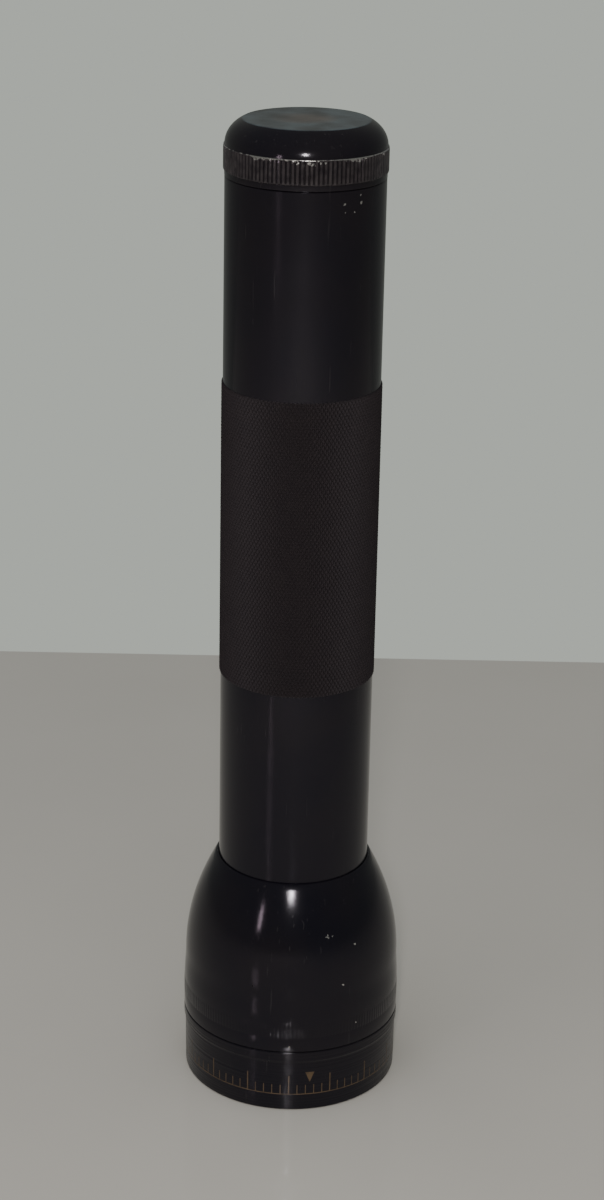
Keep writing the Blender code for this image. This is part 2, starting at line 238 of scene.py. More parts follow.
def tube(name, points, radius, sides=10):
    """A round wire through the points, in millimetres, with rounded ends."""
    points = np.array(points, float)
    ahead = np.gradient(points, axis=0)
    ahead /= np.linalg.norm(ahead, axis=1)[:, None]
    side = np.cross(ahead[0], (0.0, 0.0, 1.0) if abs(ahead[0][2]) < 0.9 else (1.0, 0.0, 0.0))
    rings = []
    turn = TAU * np.arange(sides) / sides
    ends = [(0, -0.9, 0.35), (0, -0.5, 0.8)]
    stops = [(len(points) - 1, -0.5, 0.8), (len(points) - 1, -0.9, 0.35)]
    middle = [(k, 0.0, 1.0) for k in range(len(points))]
    for k, inset, size in ends + middle + stops:
        side -= ahead[k] * (side @ ahead[k])
        side /= np.linalg.norm(side)
        up = np.cross(ahead[k], side)
        way = 1.0 if k == 0 else -1.0
        centre = points[k] + ahead[k] * way * inset * radius
        rings.append(
            centre + radius * size * (np.outer(np.cos(turn), side) + np.outer(np.sin(turn), up))
        )
    body = np.vstack(rings)
    faces = []
    for i in range(len(rings) - 1):
        for j in range(sides):
            a, b = i * sides + j, i * sides + (j + 1) % sides
            faces.append((a, b, b + sides, a + sides))
    faces.append(tuple(range(sides))[::-1])
    last = (len(rings) - 1) * sides
    faces.append(tuple(range(last, last + sides)))
    return named_mesh(name, body * MM, faces, sharp=60.0)


def coil_points(r, z, wire_r, turns, dead=0.8, steps=28):
    """A spring's centre line: closed end turns, then an even rise."""
    count = int(turns * steps)
    low, high = z[0] + wire_r, z[1] - wire_r
    points = []
    for i in range(count + 1):
        along = i / count * turns
        rise = min(1.0, max(0.0, (along - dead) / (turns - 2 * dead)))
        radius = r[0] + (r[1] - r[0]) * along / turns
        closed = 1.05 * wire_r * min(along, dead) / dead
        closed_top = 1.05 * wire_r * min(turns - along, dead) / dead
        height = low + closed + (high - low - closed - closed_top) * rise
        points.append((radius * math.cos(TAU * along), radius * math.sin(TAU * along), height))
    return points


def towards_button(obj):
    """Turns a piece made along Z so that it lies along Y, through the button's centre."""
    obj.data.transform(
        Matrix.Translation((0, 0, BUTTON_Z * MM)) @ Matrix.Rotation(-math.pi / 2, 4, "X")
    )
    return obj


def cut_away(obj, cutter):
    """Cuts cutter from obj with an exact Boolean, keeping the stored values."""
    boolean = obj.modifiers.new("cut", "BOOLEAN")
    boolean.operation = "DIFFERENCE"
    boolean.solver = "EXACT"
    boolean.object = cutter
    bpy.context.view_layer.update()
    made = bpy.data.meshes.new_from_object(
        obj.evaluated_get(bpy.context.evaluated_depsgraph_get())
    )
    obj.modifiers.clear()
    obj.data = made
    made.set_sharp_from_angle(angle=math.radians(SHARP_ANGLE))
    bpy.data.objects.remove(cutter)


# ---------------------------------------------------------------- materials


class Net:
    """One material's nodes. A value is a number, a colour or another node's output."""

    def __init__(self, name):
        self.material = bpy.data.materials.new(name)
        self.material.use_nodes = True
        self.tree = self.material.node_tree
        self.tree.nodes.clear()
        self.shader = self.node("ShaderNodeBsdfPrincipled")
        output = self.node("ShaderNodeOutputMaterial")
        self.tree.links.new(self.shader.outputs[0], output.inputs["Surface"])
        self.place = self.node("ShaderNodeTexCoord").outputs["Object"]

    def feed(self, socket, value):
        if isinstance(value, bpy.types.NodeSocket):
            self.tree.links.new(value, socket)
        elif isinstance(value, tuple) and len(value) == 3 and socket.type == "RGBA":
            socket.default_value = (*value, 1.0)
        else:
            socket.default_value = value

    def node(self, kind, inputs=(), **settings):
        made = self.tree.nodes.new(kind)
        for key, value in settings.items():
            setattr(made, key, value)
        for key, value in dict(inputs).items():
            self.feed(made.inputs[key], value)
        return made

    def finish(self, **inputs):
        """Feeds the shader; names are its sockets with _ for a space."""
        for key, value in inputs.items():
            self.feed(self.shader.inputs[key.replace("_", " ")], value)
        return self.material

    def do(self, operation, *values):
        made = self.node("ShaderNodeMath", operation=operation)
        for socket, value in zip(made.inputs, values):
            self.feed(socket, value)
        return made.outputs[0]

    def noise(self, scale, detail=2.0, stretch=None, turn=(0, 0, 0), rough=0.5):
        """Noise of about scale lumps per metre, drawn out by stretch."""
        place = self.place
        if stretch or any(turn):
            place = self.node(
                "ShaderNodeMapping",
                {"Vector": place, "Rotation": turn, "Scale": stretch or (1, 1, 1)},
            ).outputs[0]
        inputs = {"Vector": place, "Scale": scale, "Detail": detail, "Roughness": rough}
        return self.node("ShaderNodeTexNoise", inputs).outputs["Fac"]

    def span(self, value, low, high, to_low=0.0, to_high=1.0):
        inputs = {0: value, 1: low, 2: high, 3: to_low, 4: to_high}
        return self.node("ShaderNodeMapRange", inputs, clamp=True).outputs[0]

    def mix(self, factor, a, b):
        made = self.node("ShaderNodeMix", {0: factor, 6: a, 7: b}, data_type="RGBA")
        return made.outputs[2]

    def blend(self, factor, a, b):
        return self.node("ShaderNodeMix", {0: factor, 2: a, 3: b}, data_type="FLOAT").outputs[0]

    def stored(self, name):
        return self.node("ShaderNodeAttribute", attribute_name=name).outputs["Fac"]

    def parts(self):
        """x, y and z of the object's own coordinates, in metres."""
        return self.node("ShaderNodeSeparateXYZ", {0: self.place}).outputs

    def bump(self, height, distance, strength, normal=None):
        inputs = {"Height": height, "Distance": distance, "Strength": strength}
        if normal:
            inputs["Normal"] = normal
        return self.node("ShaderNodeBump", inputs).outputs[0]

    def brushed(self, amount):
        """Spreads highlights along the axis, as the marks of turning do."""
        self.shader.inputs["Anisotropic"].default_value = amount
        self.shader.inputs["Anisotropic Rotation"].default_value = 0.25
        tangent = self.node("ShaderNodeTangent", direction_type="RADIAL", axis="Z").outputs[0]
        self.feed(self.shader.inputs["Tangent"], tangent)

    def between(self, value, low, high):
        return self.do(
            "MULTIPLY", self.do("GREATER_THAN", value, low), self.do("LESS_THAN", value, high)
        )

    def scratches(self, scale, thin, turn, low):
        """Sparse fine lines along one direction."""
        lines = self.noise(scale, 1.0, (1.0, 1.0, thin), turn)
        patch = self.span(self.noise(70, 2.0, None, turn), 0.5, 0.62)
        return self.do("MULTIPLY", self.span(lines, low, low + 0.03), patch)

    def nicks(self, places):
        """Where the surface is chipped: places are (degrees right of front, r, z, size) in mm."""
        ragged = self.do("MULTIPLY", self.do("SUBTRACT", self.noise(1500, 2.0), 0.5), 1.6 * MM)
        mask = None
        for degrees, r, z, size in places:
            angle = TAU * FRONT_TURN + math.radians(degrees)
            spot = (r * MM * math.cos(angle), r * MM * math.sin(angle), z * MM)
            away = self.node(
                "ShaderNodeVectorMath", {0: self.place, 1: spot}, operation="DISTANCE"
            ).outputs["Value"]
            near = self.span(self.do("ADD", away, ragged), size * MM, 0.6 * size * MM)
            mask = self.do("MAXIMUM", mask, near) if mask else near
        return mask


def handled_end_painted_reflection(net, colour, cloud):
    """Adds a patchy layer to the tail cap's flat end, blue-grey towards the rim as a painted reflection of
    the pale room and brownish at the centre as a handling stain, and grey to the tops of its ribs.
    """
    x, y, z = net.parts()
    off = net.do("SQRT", net.do("ADD", net.do("POWER", x, 2.0), net.do("POWER", y, 2.0)))
    # Painted reflection: the flat end turns blue-grey towards its rim as if it mirrored the pale room,
    # with a brownish handling stain at its centre.
    stain = net.span(net.do("ADD", off, net.do("MULTIPLY", cloud, 0.012)), 0.014, 0.009)
    film_and_painted_reflection = net.mix(stain, (0.061, 0.078, 0.090), (0.104, 0.082, 0.072))
    film_and_reflection_cover = net.span(net.noise(160, 4.0), 0.3, 0.68, 0.2, 1.0)
    film_and_reflection_cover = net.do("MULTIPLY", film_and_reflection_cover, net.do("GREATER_THAN", z, (TAIL_TOP - 0.1) * MM))
    colour = net.mix(film_and_reflection_cover, colour, film_and_painted_reflection)
    band = net.between(z, TAIL_RIBS[0] * MM, (TAIL_RIBS[1] - 0.1) * MM)
    tops = net.span(net.do("SUBTRACT", band, net.stored("cut")), 0.3, 0.9)
    tops = net.do("MULTIPLY", tops, net.span(net.noise(600, 3.0), 0.3, 0.7, 0.25, 1.0))
    return net.mix(tops, colour, (0.044, 0.038, 0.040))


def anodised(
    name, roughness, marks, nicks=(), dirt=0.0, wear=0.5, brown=0.4, scale_marks=False, tail_end=False
):
    """Black anodised aluminium: slightly violet, handled, and bright where it is worn through.

    marks is how far turning spreads highlights, dirt how much lint the cuts hold, wear how
    readily edges wear through, and brown how far the uncut surface has faded.
    """
    net = Net(name)
    cloud = net.noise(45, 4.0, None, (0.3, 0.2, 0.1))
    colour = net.mix(
        net.span(cloud, 0.35, 0.65), (0.0046, 0.0042, 0.0078), (0.0076, 0.0062, 0.0088)
    )
    cut = net.stored("cut")
    grey = net.span(net.noise(320, 3.0), 0.35, 0.7)
    lint = net.do("MULTIPLY", cut, net.do("MULTIPLY", grey, dirt))
    colour = net.mix(lint, colour, (0.042, 0.034, 0.031))
    worn_top = net.do("MULTIPLY", net.do("SUBTRACT", 1.0, cut), brown)
    colour = net.mix(
        net.do("MULTIPLY", worn_top, net.span(net.noise(25, 3.0), 0.3, 0.75)),
        colour,
        (0.016, 0.013, 0.014),
    )
    hair = net.do(
        "MAXIMUM",
        net.scratches(1500, 0.05, (0.9, 0.5, 0.0), 0.70),
        net.scratches(1300, 0.04, (1.5, 0.4, 1.1), 0.71),
    )
    colour = net.mix(net.do("MULTIPLY", hair, 0.3), colour, (0.04, 0.037, 0.038))

    edge = net.stored("wear")
    eaten = net.do("ADD", net.noise(900, 4.0, None, (0, 0, 0.4), 0.7), net.noise(110, 2.0))
    bare = net.span(net.do("ADD", eaten, net.do("MULTIPLY", edge, wear)), 1.42, 1.5)
    bare = net.do("MULTIPLY", bare, net.span(edge, 0.05, 0.2))
    if nicks:
        bare = net.do("MAXIMUM", bare, net.nicks(nicks))
    # The tail cap's flat end gets a painted reflection of the pale room, mixed with a handling stain.
    if tail_end:
        colour = handled_end_painted_reflection(net, colour, cloud)
    colour = net.mix(bare, colour, (0.50, 0.49, 0.48))

    gloss = net.span(net.noise(55, 3.0, None, (0.7, 0.1, 0.0)), 0.4, 0.75, roughness, roughness + 0.08)
    knurl = net.stored("knurl")
    colour = net.mix(net.do("MULTIPLY", knurl, 0.8), colour, (0.021, 0.0165, 0.0180))
    gloss = net.blend(knurl, gloss, 0.72)
    gloss = net.blend(bare, net.do("ADD", gloss, net.do("MULTIPLY", hair, 0.08)), 0.32)
    fine = net.do("ADD", net.noise(2600, 2.0, (1, 1, 6)), net.do("MULTIPLY", hair, -0.3))
    if scale_marks:
        mark = engraved_scale(net)
        colour = net.mix(mark, colour, (0.115, 0.078, 0.046))
        gloss = net.blend(mark, gloss, 0.45)
    normal = net.bump(net.do("SUBTRACT", fine, net.do("MULTIPLY", bare, 0.8)), 0.00002, 0.25)
    if scale_marks:
        rings = net.noise(1700, 1.0, (0.015, 0.015, 1.0))
        normal = net.bump(rings, 0.00016, 1.0, normal)
    material = net.finish(
        Base_Color=colour,
        Metallic=net.do("MULTIPLY", bare, 0.95),
        Roughness=gloss,
        Normal=normal,
    )
    net.shader.inputs["IOR"].default_value = 1.38
    net.shader.inputs["Specular Tint"].default_value = (0.90, 0.87, 1.0, 1.0)
    if marks:
        net.brushed(marks)
    return material


def engraved_scale(net):
    """A plain scale of marks round the ring, with a longer mark at every fifth and one arrow."""
    x, y, z = net.parts()
    turn = net.do("DIVIDE", net.do("ARCTAN2", y, x), TAU)
    turn = net.do("FRACT", net.do("ADD", turn, 1.0))
    base, long_marks = 4.9, 16

    def ticks(count, width, length):
        share = net.do("FRACT", net.do("MULTIPLY", turn, float(count)))
        off = net.do("MINIMUM", share, net.do("SUBTRACT", 1.0, share))
        thin = net.do("LESS_THAN", off, width * count / (TAU * FACE_CAP_R) / 2)
        return net.do("MULTIPLY", thin, net.between(z, base * MM, (base + length) * MM))

    scale = net.do("MAXIMUM", ticks(5 * long_marks, 0.24, 2.6), ticks(long_marks, 0.32, 5.4))
    scale = net.do("MAXIMUM", scale, net.between(z, (base - 0.26) * MM, base * MM))
    off = net.do("ABSOLUTE", net.do("SUBTRACT", turn, FRONT_TURN + 0.5 / long_marks))
    side = net.do("MULTIPLY", off, TAU * FACE_CAP_R * MM)
    slope = net.do("MULTIPLY", net.do("SUBTRACT", z, (base + 3.4) * MM), 0.4)
    arrow = net.do(
        "MULTIPLY", net.do("LESS_THAN", side, slope), net.do("LESS_THAN", z, (base + 6.4) * MM)
    )
    scale = net.do("MAXIMUM", scale, arrow)
    patchy = net.span(net.noise(700, 3.0), 0.3, 0.55, 0.45, 1.0)
    return net.do("MULTIPLY", scale, patchy)


def metal(name, colour, roughness):
    """Bare metal with faint stains, fine marks and uneven gloss."""
    net = Net(name)
    dull = tuple(c * 0.72 for c in colour)
    stain = net.span(net.noise(260, 4.0), 0.42, 0.7)
    marks = net.noise(1800, 2.0, (1, 1, 0.15))
    return net.finish(
        Base_Color=net.mix(net.do("MULTIPLY", stain, 0.7), colour, dull),
        Metallic=1.0,
        Roughness=net.span(net.noise(420, 3.0), 0.3, 0.75, roughness, roughness + 0.15),
        Normal=net.bump(marks, 0.00002, 0.3),
    )


def moulded(name, colour, roughness, grain=1400):
    """Moulded plastic or rubber: a fine grain, with faint flow marks."""
    net = Net(name)
    pale = tuple(min(1.0, c * 1.25 + 0.004) for c in colour)
    flow = net.span(net.noise(120, 3.0, (1, 1, 0.4)), 0.35, 0.7)
    return net.finish(
        Base_Color=net.mix(flow, colour, pale),
        Roughness=net.span(net.noise(300, 2.0), 0.3, 0.7, roughness - 0.06, roughness + 0.08),
        Normal=net.bump(net.noise(grain, 3.0), 0.00004, 0.5),
    )


def glass(name, colour, roughness):
    """Clear glass with a few faint smears."""
    net = Net(name)
    smear = net.span(net.noise(180, 3.0, (1, 3, 1)), 0.5, 0.8, roughness, roughness + 0.05)
    tint = net.mix(net.noise(30, 1.0), colour, tuple(c * 0.985 for c in colour))
    made = net.finish(Base_Color=tint, Roughness=smear)
    net.shader.inputs["Transmission Weight"].default_value = 1.0
    net.shader.inputs["IOR"].default_value = 1.5
    return made


def mirror(name):
    """The reflector's vacuum coating: nearly even, with the faintest orange peel."""
    net = Net(name)
    haze = net.span(net.noise(90, 3.0), 0.4, 0.8)
    return net.finish(
        Base_Color=net.mix(haze, (0.86, 0.87, 0.88), (0.80, 0.80, 0.80)),
        Metallic=1.0,
        Roughness=net.span(haze, 0.0, 1.0, 0.06, 0.12),
        Normal=net.bump(net.noise(500, 2.0), 0.00001, 0.4),
    )


def jacket(name):
    """A cell's printed foil jacket: a plain band at the positive end, and a thin line."""
    net = Net(name)
    _, _, z = net.parts()
    above = net.do("SUBTRACT", z, CELL_START * MM)
    along = net.do("FRACT", net.do("DIVIDE", above, CELL_PITCH * MM))
    band_end, line_end = 0.2, 0.225
    band = net.do("LESS_THAN", along, band_end)
    line = net.between(along, band_end, line_end)
    blue = net.mix(net.noise(60, 2.0), (0.03, 0.08, 0.20), (0.045, 0.11, 0.26))
    colour = net.mix(line, net.mix(band, blue, (0.55, 0.30, 0.10)), (0.7, 0.7, 0.7))
    ends = net.do("MAXIMUM", net.do("LESS_THAN", along, 0.036), net.do("GREATER_THAN", along, 0.983))
    return net.finish(
        Base_Color=net.mix(ends, colour, (0.6, 0.6, 0.6)),
        Metallic=net.blend(ends, 0.55, 1.0),
        Roughness=net.span(net.noise(200, 3.0), 0.3, 0.7, 0.26, 0.4),
        Normal=net.bump(net.noise(900, 2.0), 0.00003, 0.3),
    )


def table_top(name):
    """A pale, glossy table with a faint wave in its polish."""
    net = Net(name)
    mottle = net.span(net.noise(9, 5.0), 0.3, 0.7)
    made = net.finish(
        Base_Color=net.mix(mottle, (0.505, 0.485, 0.455), (0.530, 0.510, 0.478)),
        Roughness=net.span(net.noise(14, 4.0), 0.3, 0.7, 0.07, 0.11),
        Normal=net.bump(net.noise(150, 2.0), 0.0002, 0.12),
    )
    net.shader.inputs["IOR"].default_value = 1.36
    return made


# ---------------------------------------------------------------- the pieces


def dress(obj, material, body, nodes):
    """Gives a piece its material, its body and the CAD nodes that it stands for."""
    obj.data.materials.clear()
    obj.data.materials.append(material)
    if body:
        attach(obj, body)
    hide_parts(*nodes)
    return obj


def bell_r(z):
    """The bell's radius at height z: a parabola that starts upright at its foot."""
    along = (z - BELL_FOOT) / (64.5 - BELL_FOOT)
    return 28.05 - (28.05 - 18.5) * along * along


def make_barrel(black):
    half_rows = 2 * DIAMOND_ROWS
    low, high = GRIP_Z
    rows = plain((17.4, 44.0), (19.15, 44.0, 0.1), (BARREL_R, 44.3, 0.2, 0.4), (BARREL_R, 45.4))
    rows += threaded(BARREL_R, 45.6, 53.6, BARREL_PITCH, 0.5)
    rows += plain((BARREL_R, 54.0), (BARREL_R, 82.0), (BARREL_R, 98.0), (BARREL_R, low))
    rows += knurled(GRIP_R, low + 0.3, high - 0.3, DIAMONDS, half_rows, 0.42)
    rows += plain((BARREL_R, high), (BARREL_R, 215.0), (BARREL_R, 239.8))
    rows += plain((BARREL_R, 240.2, 0, 0.2), (19.25, 240.4, 0.1, 0.2), (17.95, 240.4))
    rows += threaded(17.95, 239.9, 227.0, BARREL_PITCH, -0.5)
    rows += plain((17.95, 226.2), (17.4, 226.2), (17.4, 140.0), (17.4, 51.6), (18.3, 51.6))
    rows += plain((18.3, 50.0), (17.4, 50.0))
    obj = lathe("barrel_tube", rows, 2 * DIAMONDS)
    inside = [low < v.co.z / MM < high and v.co.xy.length / MM > 18.5 for v in obj.data.vertices]
    store(obj.data, "knurl", inside)
    hole = plain((0, 14.0), (7.6, 14.0), (7.6, 19.0), (8.4, 20.0), (8.4, 24.0), (0, 24.0))
    cut_away(obj, towards_button(lathe("hole", hole, 72)))
    return dress(obj, black, "barrel", ["barrel"])


def make_head(black):
    ribs = 186
    bell = [BELL_FOOT + (61.4 - BELL_FOOT) * i / 22 for i in range(23)]
    rows = plain((25.1, 9.0), (25.3, 8.5, 0.1), (26.2, 8.5, 0.2), (26.4, 8.8))
    rows += threaded(26.4, 9.0, 17.0, FACE_CAP_PITCH, 0.55)
    rows += plain((26.4, 17.47), (28.2, 17.47, 0.1, 0.1), (28.43, 17.7, 0.2, 0.2), (28.45, 21.2))
    rows += ribbed(28.45, 21.4, 25.4, ribs, 0.09, 1.0, 0.3)
    rows += [row(28.4 - 0.35 * smooth((z - 26) / 7.6), z) for z in np.arange(25.7, 33.4, 0.7)]
    rows += [row(bell_r(z), z) for z in bell]
    rows += plain((20.12, 61.62, 0.1, 0.3), (19.6, 61.8, 0.1, 0.3), (19.52, 61.7), (19.52, 59.5))
    rows += plain((19.95, 59.5), (19.95, 57.8), (21.1, 57.8), (21.1, 55.6), (19.95, 55.6))
    rows += plain((19.95, 46.5), (22.3, 44.0), (25.1, 33.0), (25.1, 20.0))
    obj = lathe("head_bell", rows, 3 * ribs)
    return dress(obj, black, "head", ["head"])


def make_face_cap(black):
    rows = plain((25.8, 0), (27.6, 0, 0.1, 0.1), (28.0, 0.35, 0.35, 0.1), (FACE_CAP_R, 13.9))
    rows += plain((FACE_CAP_R, 14.2, 0.2), (28.45, 14.85, 0.35, 0.1), (28.45, 16.7), (28.45, 17.0))
    rows += plain((28.43, 17.15, 0, 0.3), (28.2, 17.4, 0.1, 0.3), (26.75, 17.4))
    rows += threaded(26.75, 17.0, 8.0, FACE_CAP_PITCH, -0.5)
    rows += plain((26.75, 7.5), (26.75, 2.4), (25.0, 2.4), (25.0, 0.8, 0.15), (25.2, 0.5))
    obj = lathe("face_cap_ring", rows, 360)
    return dress(obj, black, "face_cap", ["face_cap"])


def make_tail_cap(black):
    ribs = 112
    low, high = TAIL_RIBS
    middle_r, rise = 11.2, 6.82
    middle, radii = (middle_r, high), (19.5 - middle_r, rise)
    edge = math.degrees(math.asin((TAIL_TOP - high) / rise))

    def rib_wear(z):
        return float(np.interp(z, (246.2, 247.0, 247.6), (0.05, 0.36, 0.58)))

    rows = [row(r, TAIL_TOP) for r in (0, 2.5, 5, 7.5, 10, 12.5, 14.6, 15.05)]
    rows += arc(middle, radii, edge, edge - 1, 2)
    rows += arc(middle, radii, edge - 1, 0, 20)[1:]
    rows += [row(19.6, 247.96, None, 0.85), row(19.73, 247.85, None, 0.85)]
    rows += ribbed(TAIL_CAP_R, 247.7, 242.1, ribs, 0.34, 0.5, 0.28, rib_wear)
    rows += plain((19.5, low), (19.5, 240.65, 0.1, 0.45), (19.3, 240.45, 0.1, 0.3), (17.6, 240.45))
    rows += plain((17.6, 239.8), (16.5, 239.8), (16.5, 237.4), (17.6, 237.4))
    rows += threaded(17.6, 237.1, 228.9, BARREL_PITCH, 0.5)
    rows += plain((17.6, 228.6), (17.2, 228.2, 0.1), (15.4, 228.2), (15.4, 240.0), (15.4, 251.3))
    rows += [row(0, 251.3)]
    obj = lathe("tail_cap_shell", rows, 6 * ribs)
    return dress(obj, black, "tail_cap", ["tail_cap"])


def make_reflector(silver):
    four_f, rim_r, hole_r, wall = 4 * 4.6, 24.3, 6.6, 2.2
    collar_r, collar_top = 10.4, 46.0
    apex = 7.0 + rim_r**2 / four_f
    back_r = math.sqrt(four_f * (apex + wall - 8.2))

    def bowl(first, last, behind, steps):
        radii = [first + (last - first) * i / steps for i in range(steps + 1)]
        return [row(r, apex + behind - r * r / four_f) for r in radii]

    def cam(turn, z):
        phase = (turn * 360 + 30) % 180
        rise = np.where(phase <= 150, phase / 150, (180 - phase) / 30) * 5.0
        return np.where(z > collar_top - 0.01, z + rise, z)

    rows = plain((25.9, 7.0, 0.1), (rim_r + 0.2, 7.0)) + bowl(rim_r, hole_r, 0, 40)
    rows += plain((hole_r, 38.2), (8.6, 38.2), (8.6, collar_top), (collar_r, collar_top))
    rows += bowl(collar_r, back_r, wall, 24) + plain((26.0, 8.2), (26.3, 8.0), (26.3, 7.2), (26.1, 7.0))
    obj = lathe("reflector_bowl", rows, 192, cam)
    return dress(obj, silver, "head", ["reflector"])


def make_lens(clear):
    rows = plain((0, 4.5), (12, 4.5), (25.9, 4.5, 0.2), (26.3, 4.9, 0.2), (26.3, 6.4, 0.2))
    rows += plain((26.0, 6.7, 0.2), (12, 6.7), (0, 6.7))
    return dress(lathe("lens_disc", rows, 128), clear, "lens", ["lens"])


def make_seal(name, rubber, body, node, r, z, section):
    rows = arc((r, z), (section, section), 0, 360, 16)[:-1]
    return dress(lathe(name, rows, 96), rubber, body, [node])


def make_lamp(clear, brass, tungsten):
    outer = [row(5.6, 40.4)] + arc((0, 34.0), (5.6, 4.5), 0, -90, 14)[:-1] + [row(0, 29.5)]
    inner = [row(0, 30.2)] + arc((0, 34.0), (4.9, 3.8), -90, 0, 14)[1:] + [row(4.9, 40.4)]
    glass_part = bulb("lamp_bulb", outer, inner)
    dress(glass_part, clear, "lamp", ["lamp_glass"])
    rows = plain((0, 40.85), (6.5, 40.85), (6.6, 41.0), (6.6, 41.5), (6.5, 41.65), (4.6, 41.65))
    rows += plain((4.6, 47.1), (4.3, 47.5, 0.2), (2.6, 48.4, 0.2), (1.7, 49.1, 0.2), (0, 49.2))
    dress(lathe("lamp_shell", rows, 72), brass, "lamp", ["lamp_base"])
    posts = [(-1.6, 0, 40.55), (-1.6, 0, 38.0), (-1.6, 0, 34.9), (-1.5, 0, 34.5), (-1.2, 0, 34.35)]
    turns, steps = 7, 14
    half_length, coil_r, coil_z = 1.05, 0.26, 34.3
    spiral = [
        (
            half_length * (2 * i / (turns * steps) - 1),
            coil_r * math.sin(TAU * i / steps),
            coil_z + coil_r * math.cos(TAU * i / steps),
        )
        for i in range(turns * steps + 1)
    ]
    line = posts + spiral + [(-x, y, z) for x, y, z in reversed(posts)]
    wire = tube("lamp_wire", line, 0.09, 8)
    dress(wire, tungsten, "lamp", ["lamp_filament"])


def bulb(name, outer, inner):
    """A thin bulb whose outer and inner walls both close on the axis."""
    columns = 64
    turn = TAU * np.arange(columns) / columns
    points, faces = [], []
    rings = outer[:-1] + inner[:0:-1]
    for r, z, _, _ in rings:
        points += [(r * math.cos(t), r * math.sin(t), z) for t in turn]
    split = len(outer) - 1
    count = len(rings)
    for i in range(count):
        if i == split - 1:
            continue
        after = (i + 1) % count
        for j in range(columns):
            k = (j + 1) % columns
            faces.append(
                (i * columns + j, after * columns + j, after * columns + k, i * columns + k)
            )
    tip, hollow = len(points), len(points) + 1
    points += [(0, 0, outer[-1][1]), (0, 0, inner[0][1])]
    for j in range(columns):
        k = (j + 1) % columns
        faces.append(((split - 1) * columns + j, tip, (split - 1) * columns + k))
        faces.append((hollow, split * columns + j, split * columns + k))
    return named_mesh(name, np.array(points) * MM, faces, sharp=40.0)


def make_springs(steel):
    spring = tube("lamp_coil", coil_points((3.8, 3.8), (49.5, 65.8), 0.35, 6.5), 0.35)
    dress(spring, steel, "barrel", ["lamp_spring"])
    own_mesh(spring)
    spring = tube("switch_coil", coil_points((4.6, 4.6), (6.4, 12.1), 0.3, 4.0), 0.3)
    dress(towards_button(spring), steel, "barrel", ["switch_spring"])
    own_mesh(spring)
    spring = tube("tail_coil", coil_points((9.0, 13.5), (227.9, 251.0), 0.6, 6.0, 0.9, 40), 0.6, 12)
    dress(spring, steel, None, ["tail_spring"])
    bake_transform(spring)


def make_boot(rubber):
    """The soft cover: a low dome with a raised ring, in one piece with its skirt."""
    rows = plain((0, 20.3), (2.0, 20.3), (4.2, 20.24), (4.6, 20.36, 0.2), (5.1, 20.32, 0.2))
    rows += plain((5.5, 20.05), (6.3, 19.65, 0.5), (7.0, 19.2, 0.4), (7.3, 18.7, 0.4), (7.3, 17.6))
    rows += plain((7.2, 17.45), (6.3, 17.45), (6.3, 18.2), (5.8, 18.9, 0.3), (3.0, 19.25), (0, 19.3))
    boot = towards_button(lathe("boot_cover", rows, 72))
    dress(boot, rubber, None, ["switch_boot"])
    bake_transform(boot)


def finish_nodes(frame, material, *names):
    """Gives a material to CAD nodes that are shown as they are."""
    for name in names:
        mesh = frame["nodes"][name].data
        mesh.materials.clear()
        mesh.materials.append(material)


